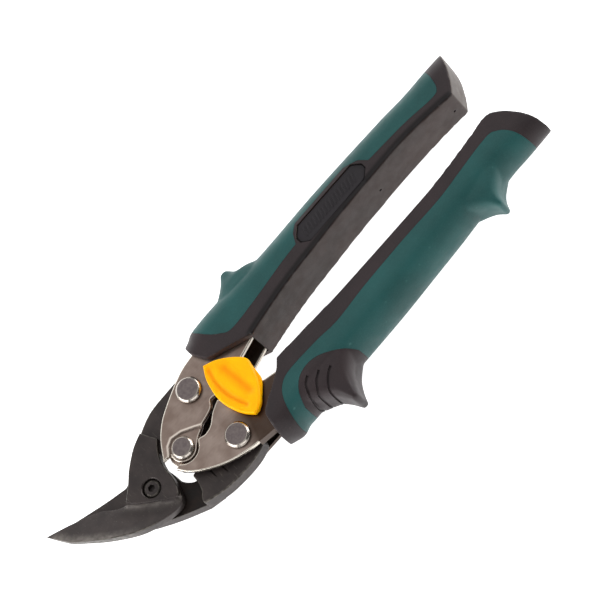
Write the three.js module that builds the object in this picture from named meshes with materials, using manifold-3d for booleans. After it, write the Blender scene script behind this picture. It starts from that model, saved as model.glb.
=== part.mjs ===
// Compact compound-action aviation snips with offset blades, closed and latched, lying flat.
//
// Units are millimetres. The outlines are drawn looking down on the tool, with the blade pivot at
// x = y = 0, +X towards the blade tips and +Y towards the right handle. Heights are measured from
// the middle plane, where the two blades lap. The last lines move the whole tool so that it stands
// on z = 0 with the middle of its plan at x = y = 0.
//
// Four pivots make a kite linkage: blade pivot, left tail rivet, handle pivot, right tail rivet.

import * as THREE from "three";
import { mergeVertices } from "three/addons/utils/BufferGeometryUtils.js";
import Module from "manifold-3d";

const wasm = await Module();
wasm.setup();

// ---- driving dimensions ----

const BLADE_PIVOT = [0, 0];
const HANDLE_PIVOT = [-14.4, 0];
const LEFT_TAIL_PIVOT = [-27.5, -10.5];
const RIGHT_TAIL_PIVOT = [-27.5, 10.5];

const GAP = 0.3; // clearance between parts that are cut round each other
const SEAT_GAP = 0.05; // clearance under a head that sits on a flat face
const RUNNING_GAP = 0.1; // radial clearance of a turning pin

const THROUGH = 12; // height above the middle plane that is clear of the whole tool
const LAP_GAP = 0.15; // half of the space between the lapping blades
const BLADE_FACE = 4; // outer face of either blade
const TAIL_HALF = 2.5; // half the thickness of a blade tail
const EYE_HALF = 4.3; // half the height of the raised eye at the end of a tail
const EYE_RADIUS = 4.8;
const UPPER_LAP_RADIUS = 11.3; // below the lap the upper blade starts outside this radius

const FRAME_FACE = 6; // outer face of a handle frame
const SHEET = 1.5; // steel thickness of a handle frame
const UPPER_LUG = 3.9; // inner face of the left frame's lug, pressed in round the handle pivot
const LOWER_LUG = 2.1; // inner face of the right frame's lug, under the left one
const LUG_RADIUS = 4.1;
const LUG_SOCKET = 4.8; // round cut in the right frame that clears the left lug
const FRAME_REAR = -135;
const WEB_FRONT = -36; // the frames have a side wall behind this line

const PIN_RADIUS = 2;
const OPEN_PIVOT_RADIUS = 2.35; // hole of the lower blade, at the pivot where the linkage is left open
const TAIL_RIVET_RADIUS = 3.9; // head radius of the rivets at the blade tails
const HANDLE_RIVET_RADIUS = 3.45;
const RIVET_CHAMFER = 0.5;
const RIVET_HEAD_HEIGHT = 1.5;
const SCREW_HEAD_RADIUS = 2.6;
const SCREW_SEAT = 1.6; // floor of the round recess in the upper blade, under the screw's head
const WASHER_THICKNESS = 0.7;
const NUT_ACROSS_FLATS = 7;

const GRIP_HALF = 8.7; // half the thickness of a grip
const BULGE = 7; // how far the rounded outer side of a grip stands out
const BULGE_STEPS = 12;

const LATCH_PIN_PLACE = [-38, -0.9];
const LATCH_PIN_RADIUS = 1.5;
const KNOB_LOW = 6.3;
const KNOB_HIGH = 8.6;
const LOWER_KNOB_RADIUS = 4.2;

// ---- materials ----

function finish(color, roughness, metalness) {
  return new THREE.MeshStandardMaterial({ color, roughness, metalness });
}

const blackOxide = finish(0x3f3c38, 0.45, 0.8);
const satinSteel = finish(0x85796f, 0.35, 1);
const rivetSteel = finish(0x766a6a, 0.4, 1);
const springSteel = finish(0x9a9793, 0.3, 1);
const darkGrip = finish(0x3e383a, 0.7, 0);
const greenGrip = finish(0x2d5856, 0.6, 0);
const yellowPlastic = finish(0xffb800, 0.45, 0);

// ---- helpers ----

// A closed outline. Each step is one point, reached by a straight line, or a list of points, which a
// smooth curve passes through.
function outline(start, ...steps) {
  const shape = new THREE.Shape();
  shape.moveTo(...start);
  for (const step of steps) {
    if (Array.isArray(step[0])) {
      shape.splineThru(step.map(([x, y]) => new THREE.Vector2(x, y)));
    } else {
      shape.lineTo(...step);
    }
  }
  return shape;
}

// A manifold solid from a closed three.js geometry.
function toSolid(geometry) {
  geometry.deleteAttribute("normal");
  geometry.deleteAttribute("uv");
  const merged = mergeVertices(geometry, 1e-4);
  const corners = merged.index.array;
  const kept = [];
  for (let i = 0; i < corners.length; i += 3) {
    const [a, b, c] = corners.slice(i, i + 3);
    if (a !== b && b !== c && c !== a) kept.push(a, b, c);
  }
  const vertProperties = new Float32Array(merged.attributes.position.array);
  const triVerts = new Uint32Array(kept);
  return new wasm.Manifold(new wasm.Mesh({ numProp: 3, vertProperties, triVerts }));
}

function toMesh(name, solid, material) {
  const { vertProperties, triVerts } = solid.getMesh();
  const geometry = new THREE.BufferGeometry();
  geometry.setAttribute("position", new THREE.BufferAttribute(vertProperties, 3));
  geometry.setIndex(new THREE.BufferAttribute(triVerts, 1));
  geometry.computeVertexNormals();
  const mesh = new THREE.Mesh(geometry, material);
  mesh.name = name;
  return mesh;
}

// An outline given thickness from one height to another. A bevel rounds its top and bottom edges.
function slab(shape, low, high, { bevel = 0, bevelHeight = bevel, bevelSegments = 3 } = {}) {
  const geometry = new THREE.ExtrudeGeometry(shape, {
    depth: high - low - 2 * bevelHeight,
    bevelEnabled: bevel > 0,
    bevelSize: bevel,
    bevelOffset: -bevel,
    bevelThickness: bevelHeight,
    bevelSegments,
    curveSegments: 2,
  });
  geometry.translate(0, 0, low + bevelHeight);
  return toSolid(geometry);
}

// The same slab above and below the middle plane.
function twinSlabs(shape, inner, outer) {
  return slab(shape, inner, outer).add(slab(shape, -outer, -inner));
}

// A round solid turned about an upright axis, from a profile of [radius, height] points that starts
// and ends on the axis, from the bottom up.
function turned([x, y], profile, segments = 32) {
  const points = profile.map(([radius, height]) => new THREE.Vector2(radius, height));
  const geometry = new THREE.LatheGeometry(points, segments);
  geometry.rotateX(Math.PI / 2);
  geometry.translate(x, y, 0);
  return toSolid(geometry);
}

function disc(place, radius, low, high, segments = 32) {
  return turned(place, [[0, low], [radius, low], [radius, high], [0, high]], segments);
}

// The solid made a little longer each way along X and towards the core of its grip, to cut the gap
// round a piece that is let into the grip.
function grown(solid, towardsCore) {
  return solid.translate([GAP, towardsCore, 0]).add(solid.translate([-GAP, towardsCore, 0])).add(solid);
}

// ---- blades ----

// The outer face of each jaw slopes: height at the blade pivot, rise per mm along X and along Y.
const UPPER_SLOPE = [0.34, 0.173, 0.276];
const LOWER_SLOPE = [-5.3, 0.266, 0.264];
const SLOPE_CUT_DEPTH = 12;

// Everything beyond a sloping face, above it for side 1 and below it for side -1, inside an outline.
function slopeCutter(plan, [height, riseX, riseY], side) {
  const geometry = new THREE.ExtrudeGeometry(plan, { depth: SLOPE_CUT_DEPTH, bevelEnabled: false });
  if (side < 0) geometry.translate(0, 0, -SLOPE_CUT_DEPTH);
  const slope = new THREE.Matrix4().set(
    1, 0, 0, 0,
    0, 1, 0, 0,
    riseX, riseY, 1, height,
    0, 0, 0, 1,
  );
  geometry.applyMatrix4(slope);
  return toSolid(geometry);
}

// An upright hole through everything.
function pinHole(place, radius = PIN_RADIUS + RUNNING_GAP) {
  return disc(place, radius, -THROUGH, THROUGH);
}

function tailEye(place) {
  return disc(place, EYE_RADIUS, -EYE_HALF, EYE_HALF);
}

function upperBlade() {
  const headAndLeaf = outline(
    [30.7, -16.1],
    [[27.4, -9.3], [24.6, -5.9], [18.8, 0.2], [11.2, 6.2], [4, 9.2], [-1.5, 10.1]],
    [[-4.6, 8.4], [-6.2, 3.5], [-6.9, -2], [-8.6, -5.9], [-11.3, -9.1]],
    [-9, -14.5],
    [[-4.6, -12.8], [0.5, -9.4], [3.9, -6.3], [8.2, -2.9]],
    [[11.8, -5.7], [15.4, -9.2], [23.6, -13.3], [30.7, -16.1]],
  );
  const tail = outline(
    [-4.6, -12.8],
    [[-9, -15], [-13.3, -16.7], [-17.8, -17.5], [-29.2, -17.7]],
    [[-30.7, -16.6], [-31.5, -14], [-32.1, -11]],
    [-27.5, -5.7],
    [[-21, -6.5], [-14.5, -8.6], [-8.6, -5.9]],
  );
  const leafFront = outline([40, -30], [40, 20], [-12, 20], [-6, 10.6], [2.3, 2.6], [8.3, -3.2], [8.3, -30]);
  const lapRoom = disc(BLADE_PIVOT, UPPER_LAP_RADIUS, -BLADE_FACE, LAP_GAP);
  return slab(headAndLeaf, LAP_GAP, BLADE_FACE)
    .add(slab(tail, -TAIL_HALF, TAIL_HALF).subtract(lapRoom))
    .add(tailEye(LEFT_TAIL_PIVOT))
    .subtract(slopeCutter(leafFront, UPPER_SLOPE, 1))
    .subtract(disc(BLADE_PIVOT, SCREW_HEAD_RADIUS + GAP, SCREW_SEAT, THROUGH))
    .subtract(pinHole(BLADE_PIVOT))
    .subtract(pinHole(LEFT_TAIL_PIVOT));
}

function lowerBlade() {
  const headAndJaw = outline(
    [30.4, -16],
    [[24.2, -8.6], [18.2, -2.6], [11.3, 3.4], [5, 7.9], [-0.2, 11.1], [-7, 14.7]],
    [-12, 15.9],
    [-12, 7.2],
    [[-9.2, 6.6], [-7, 3.5], [-6.6, -1.5], [-4, -7.6], [1, -8.9], [5.3, -8.2]],
    [[11.6, -9.8], [17.8, -11.7], [24, -13.7], [30.4, -16]],
  );
  const body = outline(
    [-6.9, 14.9],
    [[-8, 15.3], [-14.2, 17.1], [-21, 17.7], [-26, 17.5], [-29.2, 16.8]],
    [[-30.7, 16], [-31.5, 14], [-32.1, 11]],
    [-27.5, 5.7],
    [[-21, 6.2], [-16, 6.4], [-10.3, 6.1]],
    [[-9.9, 9.2], [-8.8, 12], [-7.3, 13.3]],
  );
  const jawFront = outline([40, -30], [40, 20], [9, 20], [9, -30]);
  return slab(headAndJaw, -BLADE_FACE, -LAP_GAP)
    .add(slab(body, -TAIL_HALF, TAIL_HALF))
    .add(tailEye(RIGHT_TAIL_PIVOT))
    .subtract(slopeCutter(jawFront, LOWER_SLOPE, -1))
    .subtract(pinHole(BLADE_PIVOT))
    .subtract(pinHole(RIGHT_TAIL_PIVOT, OPEN_PIVOT_RADIUS));
}

// ---- pivots ----

// A rivet with the same flat, chamfered head at both ends.
function rivet(place, headRadius, seat) {
  const top = seat + RIVET_HEAD_HEIGHT;
  const half = [
    [PIN_RADIUS, seat],
    [headRadius, seat],
    [headRadius, top - RIVET_CHAMFER],
    [headRadius - RIVET_CHAMFER, top],
    [0, top],
  ];
  const lower = half.map(([radius, height]) => [radius, -height]).reverse();
  return turned(place, [...lower, ...half]);
}

function pivotScrew() {
  const headSeat = SCREW_SEAT + SEAT_GAP;
  const socket = disc(BLADE_PIVOT, 1.2, 2.7, THROUGH, 6);
  return turned(BLADE_PIVOT, [
    [0, -7.6],
    [PIN_RADIUS, -7.6],
    [PIN_RADIUS, headSeat],
    [SCREW_HEAD_RADIUS, headSeat],
    [SCREW_HEAD_RADIUS, 3.2],
    [2.1, 3.6],
    [0, 3.7],
  ]).subtract(socket);
}

function pivotWasher() {
  const top = -BLADE_FACE - SEAT_GAP;
  return disc(BLADE_PIVOT, 4.2, top - WASHER_THICKNESS, top).subtract(pinHole(BLADE_PIVOT));
}

function pivotNut() {
  const top = -BLADE_FACE - WASHER_THICKNESS - 2 * SEAT_GAP;
  const cornerRadius = NUT_ACROSS_FLATS / Math.sqrt(3);
  return disc(BLADE_PIVOT, cornerRadius, top - 2.4, top, 6).subtract(pinHole(BLADE_PIVOT));
}

function pivotSleeve() {
  const half = LOWER_LUG - 0.2;
  return disc(HANDLE_PIVOT, 3, -half, half).subtract(pinHole(HANDLE_PIVOT));
}

// The coil is a plain ring of its outer shape, with a straight leg towards each handle.
function returnSpring() {
  const wire = 0.55;
  const [x, y] = HANDLE_PIVOT;
  const leg = (side) => outline(
    [x - 2, y + side * 2.9],
    [x - 2, y + side * 3.9],
    [x - 12, y + side * 4.3],
    [x - 12, y + side * 3.3],
  );
  return disc(HANDLE_PIVOT, 4.3, -1.65, 1.65)
    .add(slab(leg(1), -wire, wire))
    .add(slab(leg(-1), -wire, wire))
    .subtract(pinHole(HANDLE_PIVOT, 3.2));
}

// ---- handle frames ----

// Inner edges of the two frames' plates behind the latch, inside the grips.
const LEFT_INNER_EDGE = [[-49.6, -6.6], [-62, -10.2], [-72, -11.9], [-92, -13.3], [FRAME_REAR, -13.3]];
const RIGHT_INNER_EDGE = [[-49.6, 6.4], [-62, 8], [-88, 8.7], [-110, 7.8], [FRAME_REAR, 6.4]];
const LEFT_WEB = [[WEB_FRONT, -17.6], [FRAME_REAR, -19.3]];
const RIGHT_WEB = [[WEB_FRONT, 17.6], [FRAME_REAR, 13.5]];

// The frames' lower plates stop short of the upper ones in these areas.
const NOSE_CUT = outline([-11.2, -9], [-5, -9], [-5, 9], [-11.2, 9]);
const RIGHT_LOWER_CUT = outline([-35.5, 14.9], [-24.5, 14.9], [-20, 16.5], [-20, 20], [-35.5, 20]);

// Ahead of the right web the plate's edge is turned down only as far as the lower blade's tail.
const RIGHT_SKIRT = outline(RIGHT_WEB[0], [-30.1, 16.7], [-30.1, 15.2], [WEB_FRONT, 16.1]);

function webSlab([front, rear], towardsCore) {
  const inside = ([x, y]) => [x, y + towardsCore * SHEET];
  return slab(outline(front, rear, inside(rear), inside(front)), -FRAME_FACE, FRAME_FACE);
}

function leftFrame() {
  const plate = outline(
    LEFT_WEB[1],
    LEFT_WEB[0],
    [[-30.6, -16.9], [-25.7, -15.3], [-19.7, -12.7], [-15.7, -10.5], [-11.6, -6.9], [-7.8, -1.6]],
    [-9.8, -1.4],
    [[-11.7, -3.8], [-14, -4.8], [-17.4, -3.9], [-21.2, -1.6], [-23, -0.4]],
    [[-27.7, -1.6], [-29.6, -3.5], [-31.2, -3.4]],
    [-44, -5.2],
    ...LEFT_INNER_EDGE,
  );
  const lugNeck = outline([-10.8, -2.5], [-12, -6], [-19, -5.4], [-24.5, -2.4], [-22.9, -0.6], [-17.7, 1.9]);
  const lug = disc(HANDLE_PIVOT, LUG_RADIUS, UPPER_LUG, UPPER_LUG + SHEET)
    .add(slab(lugNeck, UPPER_LUG, UPPER_LUG + SHEET));
  const lowerLug = disc(HANDLE_PIVOT, LUG_RADIUS, -UPPER_LUG - SHEET, -UPPER_LUG)
    .add(slab(lugNeck, -UPPER_LUG - SHEET, -UPPER_LUG));
  return twinSlabs(plate, FRAME_FACE - SHEET, FRAME_FACE)
    .add(lug)
    .add(lowerLug)
    .add(webSlab(LEFT_WEB, 1))
    .subtract(slab(NOSE_CUT, -THROUGH, 0))
    .subtract(pinHole(HANDLE_PIVOT))
    .subtract(pinHole(LEFT_TAIL_PIVOT));
}

function rightFrame() {
  const plate = outline(
    RIGHT_WEB[1],
    RIGHT_WEB[0],
    [[-30.1, 16.7], [-27.5, 16.2], [-21.2, 14.1], [-15.6, 10.9], [-11, 6.9], [-8.7, 3.1]],
    [-10.6, 2.5],
    [-18.2, 2.5],
    [[-19.2, 1.8], [-20.2, 2], [-21.6, 2.4], [-24.2, 1.8], [-27.4, -0.5], [-30.8, -2]],
    [-33, 0.5],
    [-42.8, 4.5],
    ...RIGHT_INNER_EDGE,
  );
  const socket = disc(HANDLE_PIVOT, LUG_SOCKET, UPPER_LUG - GAP, THROUGH);
  const lowerSocket = disc(HANDLE_PIVOT, LUG_SOCKET, -THROUGH, -UPPER_LUG + GAP);
  // The step down from the plate to the lug follows the edge of the round socket.
  const step = slab(plate, -FRAME_FACE, FRAME_FACE)
    .intersect(disc(HANDLE_PIVOT, LUG_SOCKET + SHEET, -FRAME_FACE, FRAME_FACE));
  const lugs = disc(HANDLE_PIVOT, LUG_SOCKET + 0.2, -LOWER_LUG - SHEET, LOWER_LUG + SHEET);
  return twinSlabs(plate, FRAME_FACE - SHEET, FRAME_FACE)
    .add(step)
    .add(lugs)
    .subtract(socket)
    .subtract(lowerSocket)
    .subtract(disc(HANDLE_PIVOT, 20, -LOWER_LUG, LOWER_LUG))
    .add(webSlab(RIGHT_WEB, -1))
    .add(slab(RIGHT_SKIRT, TAIL_HALF + GAP, FRAME_FACE))
    .subtract(slab(NOSE_CUT, -THROUGH, 0))
    .subtract(slab(RIGHT_LOWER_CUT, -THROUGH, 0))
    .subtract(pinHole(HANDLE_PIVOT))
    .subtract(pinHole(RIGHT_TAIL_PIVOT));
}

// ---- grips ----

// Side view of both grips: full thickness along the palm, thinner at the front and the rear end.
function sideProfile() {
  const upper = [[-30, 8.1], [-41, GRIP_HALF], [-122, GRIP_HALF], [-138, 7.6], [-152, 6.2]];
  const lower = upper.map(([x, z]) => [x, -z]).reverse();
  const [start, ...rest] = [...upper, ...lower];
  const geometry = new THREE.ExtrudeGeometry(outline(start, ...rest), { depth: 80, bevelEnabled: false });
  geometry.rotateX(Math.PI / 2);
  geometry.translate(0, 40, 0);
  return toSolid(geometry);
}

// A bar whose rounded outer side follows an edge. It is flat above and below, and wider than a grip.
function roundedBar(edge, towardsCore) {
  const curve = new THREE.SplineCurve(edge.map(([x, y]) => new THREE.Vector2(x, y)));
  const farSide = towardsCore * 30;
  const rings = curve.getPoints(edge.length * 2).map(({ x, y }) => {
    const ring = [[x, farSide, -GRIP_HALF]];
    for (let step = 0; step <= BULGE_STEPS; step += 1) {
      const angle = Math.PI * (step / BULGE_STEPS - 0.5);
      ring.push([x, y + towardsCore * BULGE * (1 - Math.cos(angle)), GRIP_HALF * Math.sin(angle)]);
    }
    ring.push([x, farSide, GRIP_HALF]);
    return ring;
  });
  const corners = [];
  const triangle = (a, b, c) => corners.push(...(towardsCore > 0 ? [a, b, c] : [c, b, a]).flat());
  for (let row = 1; row < rings.length; row += 1) {
    const near = rings[row - 1];
    const far = rings[row];
    near.forEach((corner, i) => {
      const j = (i + 1) % near.length;
      triangle(corner, near[j], far[j]);
      triangle(corner, far[j], far[i]);
    });
  }
  const first = rings[0];
  const last = rings.at(-1);
  for (let i = 2; i < first.length; i += 1) {
    triangle(first[0], first[i], first[i - 1]);
    triangle(last[0], last[i - 1], last[i]);
  }
  const geometry = new THREE.BufferGeometry();
  geometry.setAttribute("position", new THREE.Float32BufferAttribute(corners, 3));
  return toSolid(geometry);
}

// A grip before it is divided into core and cover: rounded on its outer side and flat elsewhere.
function gripBody(outerEdge, innerEdge, towardsCore) {
  return roundedBar(outerEdge, towardsCore)
    .intersect(slab(innerEdge, -GRIP_HALF, GRIP_HALF))
    .intersect(sideProfile());
}

// A finger guard or thumb stop that stands out from the side of a grip.
function sideBump(shape, half, bevel) {
  return slab(shape, -half, half, { bevel, bevelSegments: 2 });
}

// The space inside a grip for its frame.
function framePocket(web, innerEdge, towardsCore) {
  const outward = ([x, y]) => [x, y - towardsCore * GAP];
  const inward = ([x, y]) => [x - GAP, y + towardsCore * GAP];
  const [front, rear] = web.map(outward);
  const inner = [[WEB_FRONT, 0], [-44, -5.2 * towardsCore], ...innerEdge].map(inward);
  const shape = outline([front[0] + 5, front[1]], [rear[0] - GAP, rear[1]], ...inner.reverse());
  return slab(shape, -FRAME_FACE - GAP, FRAME_FACE + GAP);
}

function leftGripBody() {
  const outerEdge = [[-25, -20], [-36, -22.6], [-39, -23.9], [-42, -24.3], [-50, -24.5], [-70, -24.1],
    [-90, -24.5], [-105, -24.4], [-120, -24.1], [-130, -23.8], [-142, -24.2], [-160, -24]];
  const ends = outline(
    [-35.2, -30],
    [-35.2, -17.3],
    [[-37, -12.9], [-38.4, -11.4], [-43.1, -9.6], [-48.4, -7.5], [-50.8, -6.4]],
    [[-61.9, -8.2], [-71.4, -9.3], [-81.8, -10], [-92, -10.7], [-105.6, -11.2], [-118.1, -11.4],
      [-128.5, -10.9], [-138.9, -9.9]],
    [[-142.2, -14.4], [-144.8, -20], [-146.4, -30]],
  );
  const guard = outline([-49, -21], [[-51, -24], [-53.6, -25.6], [-55.4, -27.2], [-56.6, -29]],
    [-59.8, -29], [[-61.8, -26], [-64, -24.9], [-67, -24]], [-70, -21]);
  return gripBody(outerEdge, ends, 1).add(sideBump(guard, 5.5, 0.5));
}

function rightGripBody() {
  const outerEdge = [[-25, 19.5], [-34, 20.4], [-39.5, 22], [-43, 21.2], [-47, 21.2], [-68, 20.8],
    [-84, 20.4], [-98, 19.6], [-110, 18.9], [-122, 17.8], [-133, 16.8], [-142, 16.9], [-165, 16.6]];
  const ends = outline(
    [-35.2, 30],
    [-35.2, 20],
    [[-36.6, 15.2], [-38, 12.5], [-43.4, 9.8], [-48.4, 6.8], [-50.8, 4.5]],
    [[-65.4, 5.1], [-73.5, 5.5], [-88.4, 5.7], [-106.3, 5.6], [-119.1, 5.2], [-133.7, 3.3]],
    [[-140.5, 2.5], [-144.6, 5.5], [-148, 11], [-149.5, 17], [-149.6, 30]],
  );
  const guard = outline([-112, 14], [[-116.5, 17], [-119.5, 18.6], [-121.6, 20.2], [-123.4, 23.2]],
    [-125, 23.2], [[-126, 20.2], [-127.4, 18.4], [-129.5, 16.8]], [-134, 14]);
  return gripBody(outerEdge, ends, -1).add(sideBump(guard, 5.5, 0.5));
}

// Plan of the green cover of each grip, open towards the outer side.
const LEFT_COVER = outline(
  [-40.2, -35],
  [-40.2, -21],
  [[-42.4, -17], [-45.2, -13.9], [-48.6, -12.1], [-58.5, -12.7], [-71.2, -14.2], [-78.1, -14.7]],
  [-79.8, -17.6],
  [-82.4, -19.6],
  [-103, -19.9],
  [-107.4, -17.8],
  [-109.4, -15.2],
  [[-124.9, -14.4], [-134.5, -13.6], [-137.4, -14.9], [-138.7, -19.2]],
  [-139, -35],
);
const RIGHT_COVER = outline(
  [-40.5, 35],
  [-40.6, 22],
  [[-43.4, 15.4], [-46.1, 11.9], [-50.5, 10.3], [-61.6, 10.5], [-69.9, 11.2], [-82.3, 10.3],
    [-99.7, 9.8], [-115.8, 9.7], [-134.2, 7.5], [-138.8, 8.4], [-142, 12.6], [-143.3, 19]],
  [-143.5, 35],
);
// Plan of the ribbed pad let into the outer side of the right cover.
const PAD_PLAN = outline(
  [-66.5, 35],
  [-65.8, 19],
  [[-62, 15.7], [-58.4, 13.8], [-54.8, 13.2], [-51.2, 14.1], [-48.2, 16.5], [-45.8, 20]],
  [-45, 35],
);
const NAME_PLATE_PLAN = [[-82.3, -18.3], [-79.6, -15.9], [-79.6, -13.9], [-81.7, -12.1], [-104.7, -12.5],
  [-107.2, -14.5], [-107.2, -16.2], [-105, -18.5]];

function namePlate(spread, low, high) {
  const middle = [-93.4, -15.3];
  const moved = NAME_PLATE_PLAN.map(([x, y]) => [x + Math.sign(x - middle[0]) * spread,
    y + Math.sign(y - middle[1]) * spread]);
  const [start, ...rest] = moved;
  return slab(outline(start, ...rest), low, high);
}

function leftGrip() {
  const body = leftGripBody().subtract(framePocket(LEFT_WEB, LEFT_INNER_EDGE, 1));
  const coverZone = slab(LEFT_COVER, -10, 10);
  return {
    core: body.subtract(grown(coverZone, GAP)).subtract(namePlate(GAP, 7.6, 10)),
    cover: body.intersect(coverZone),
  };
}

function rightGrip() {
  const pocket = framePocket(RIGHT_WEB, RIGHT_INNER_EDGE, -1);
  const body = rightGripBody().subtract(pocket);
  const coverZone = slab(RIGHT_COVER, -10, 10);
  const padZone = slab(PAD_PLAN, -10, 10);
  const hook = outline([-66, 18], [[-65.6, 20], [-62.2, 22.8], [-60, 26], [-58.6, 29.8]],
    [-56.3, 29.8], [[-54.6, 25.6], [-52.4, 22.8], [-48, 20.3]], [-47, 18]);
  const pad = body.intersect(padZone).add(sideBump(hook, 6, 0.5).subtract(pocket).intersect(padZone));
  return {
    core: body.subtract(grown(coverZone, -GAP)),
    cover: body.intersect(coverZone).subtract(grown(padZone, -GAP)),
    pad,
  };
}

// ---- latch ----

function topKnob() {
  const shape = outline(
    [-35.2, -11.3],
    [[-33.1, -8], [-31.7, -3.6], [-31.2, 0.4], [-31.8, 4.4], [-33.1, 8], [-35.2, 11]],
    [-36.8, 11],
    [[-38.9, 9.7], [-41.2, 7.1], [-43.1, 3.9], [-44.7, -0.6], [-45.1, -2.4], [-44.4, -4], [-42.5, -6.4],
      [-40.4, -8.4], [-38.5, -9.8], [-36.9, -10.6]],
  );
  const lip = outline([-44.9, -2], [-43.9, 4.4], [-42.6, 6], [-40, 8.6], [-38, 4], [-40, -2]);
  const hole = disc(LATCH_PIN_PLACE, LATCH_PIN_RADIUS + RUNNING_GAP, -THROUGH, KNOB_HIGH - 0.9);
  return slab(shape, KNOB_LOW, KNOB_HIGH, { bevel: 0.7 })
    .add(slab(lip, KNOB_LOW, KNOB_LOW + 0.9))
    .subtract(hole);
}

function bottomKnob() {
  const hole = disc(LATCH_PIN_PLACE, LATCH_PIN_RADIUS + RUNNING_GAP, -KNOB_HIGH + 0.9, THROUGH);
  return disc(LATCH_PIN_PLACE, LOWER_KNOB_RADIUS, -KNOB_HIGH, -KNOB_LOW).subtract(hole);
}

function latchPin() {
  return disc(LATCH_PIN_PLACE, LATCH_PIN_RADIUS, -KNOB_HIGH + 1, KNOB_HIGH - 1);
}

// A block that slides between the left frame's plates, with an arm to the latch pin.
function latchSlide() {
  const block = outline([-43.5, -16], [-36, -16], [-36, -6.5], [-35.6, -2.8], [-35.6, 1.2], [-40.6, 1.2],
    [-40.6, -2.8], [-43.5, -6.5]);
  return slab(block, -3, 3).subtract(pinHole(LATCH_PIN_PLACE, LATCH_PIN_RADIUS + RUNNING_GAP));
}

// ---- assembly ----

const leftGripParts = leftGrip();
const rightGripParts = rightGrip();
const frameSeat = FRAME_FACE + SEAT_GAP;
const lugSeat = UPPER_LUG + SHEET + SEAT_GAP;

const snips = new THREE.Group();
snips.add(
  toMesh("upper_blade", upperBlade(), blackOxide),
  toMesh("lower_blade", lowerBlade(), blackOxide),
  toMesh("blade_pivot_screw", pivotScrew(), blackOxide),
  toMesh("blade_pivot_washer", pivotWasher(), springSteel),
  toMesh("blade_pivot_nut", pivotNut(), blackOxide),
  toMesh("left_channel", leftFrame(), satinSteel),
  toMesh("right_channel", rightFrame(), satinSteel),
  toMesh("handle_pivot_rivet", rivet(HANDLE_PIVOT, HANDLE_RIVET_RADIUS, lugSeat), rivetSteel),
  toMesh("handle_pivot_sleeve", pivotSleeve(), springSteel),
  toMesh("left_tail_rivet", rivet(LEFT_TAIL_PIVOT, TAIL_RIVET_RADIUS, frameSeat), rivetSteel),
  toMesh("right_tail_rivet", rivet(RIGHT_TAIL_PIVOT, TAIL_RIVET_RADIUS, frameSeat), rivetSteel),
  toMesh("return_spring", returnSpring(), springSteel),
  toMesh("left_grip_core", leftGripParts.core, darkGrip),
  toMesh("left_grip_sleeve", leftGripParts.cover, greenGrip),
  toMesh("left_name_plate", namePlate(0, 7.7, 8.3), darkGrip),
  toMesh("right_grip_core", rightGripParts.core, darkGrip),
  toMesh("right_grip_sleeve", rightGripParts.cover, greenGrip),
  toMesh("right_thumb_rest", rightGripParts.pad, darkGrip),
  toMesh("latch_knob_top", topKnob(), yellowPlastic),
  toMesh("latch_knob_bottom", bottomKnob(), yellowPlastic),
  toMesh("latch_pin", latchPin(), springSteel),
  toMesh("latch_slide", latchSlide(), springSteel),
);

const extent = new THREE.Box3().setFromObject(snips);
const middle = extent.getCenter(new THREE.Vector3());
snips.position.set(-middle.x, -middle.y, -extent.min.z);

export default snips;
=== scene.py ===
"""Compact aviation snips, closed and latched, lying flat on a pale floor.

Outlines are in millimetres, looking down on the tool: the blade pivot is at x = y = 0, +X is towards the
blade tips and +Y towards the right handle, and heights are measured from the middle plane, where the two
blades lap. ORIGIN is that point in the frame, and every finished piece is moved there in metres.
"""
import math

import bmesh
import bpy
import numpy as np
from mathutils import Matrix, Vector


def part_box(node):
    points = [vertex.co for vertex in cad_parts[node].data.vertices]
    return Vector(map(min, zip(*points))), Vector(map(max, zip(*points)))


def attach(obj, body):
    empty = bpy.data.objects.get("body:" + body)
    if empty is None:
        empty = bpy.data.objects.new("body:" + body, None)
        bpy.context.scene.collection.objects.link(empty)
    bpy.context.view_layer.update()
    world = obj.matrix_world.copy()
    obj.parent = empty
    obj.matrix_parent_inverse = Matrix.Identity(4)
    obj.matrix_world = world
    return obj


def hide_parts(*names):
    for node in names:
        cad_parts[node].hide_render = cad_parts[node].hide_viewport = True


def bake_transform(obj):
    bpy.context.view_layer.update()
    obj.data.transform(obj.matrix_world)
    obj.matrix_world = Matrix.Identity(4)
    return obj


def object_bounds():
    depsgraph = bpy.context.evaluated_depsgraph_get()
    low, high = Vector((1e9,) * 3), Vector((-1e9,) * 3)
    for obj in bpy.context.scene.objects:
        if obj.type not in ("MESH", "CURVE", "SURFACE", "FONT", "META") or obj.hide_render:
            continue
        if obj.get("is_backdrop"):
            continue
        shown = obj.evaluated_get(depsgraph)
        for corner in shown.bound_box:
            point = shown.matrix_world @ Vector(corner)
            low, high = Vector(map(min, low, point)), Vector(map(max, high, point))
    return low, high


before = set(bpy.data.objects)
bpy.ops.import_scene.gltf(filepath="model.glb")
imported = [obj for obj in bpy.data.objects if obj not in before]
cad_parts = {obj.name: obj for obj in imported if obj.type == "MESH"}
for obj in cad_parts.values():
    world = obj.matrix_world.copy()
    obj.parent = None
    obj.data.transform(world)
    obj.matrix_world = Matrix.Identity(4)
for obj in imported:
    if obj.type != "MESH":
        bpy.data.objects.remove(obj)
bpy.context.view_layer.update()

MM = 0.001


def centre(node):
    """Middle of a CAD node's box."""
    low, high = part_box(node)
    return (low + high) / 2


ORIGIN = Vector((*centre("blade_pivot_screw").xy, centre("handle_pivot_rivet").z))


def in_tool(node):
    """Middle of a CAD node, in the outlines' millimetres."""
    return tuple((centre(node) - ORIGIN) / MM)


BLADE_PIVOT = (0.0, 0.0)
HANDLE_PIVOT = in_tool("handle_pivot_rivet")[:2]
LEFT_TAIL_PIVOT = in_tool("left_tail_rivet")[:2]
RIGHT_TAIL_PIVOT = in_tool("right_tail_rivet")[:2]
LATCH_PIN = in_tool("latch_pin")[:2]

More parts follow.
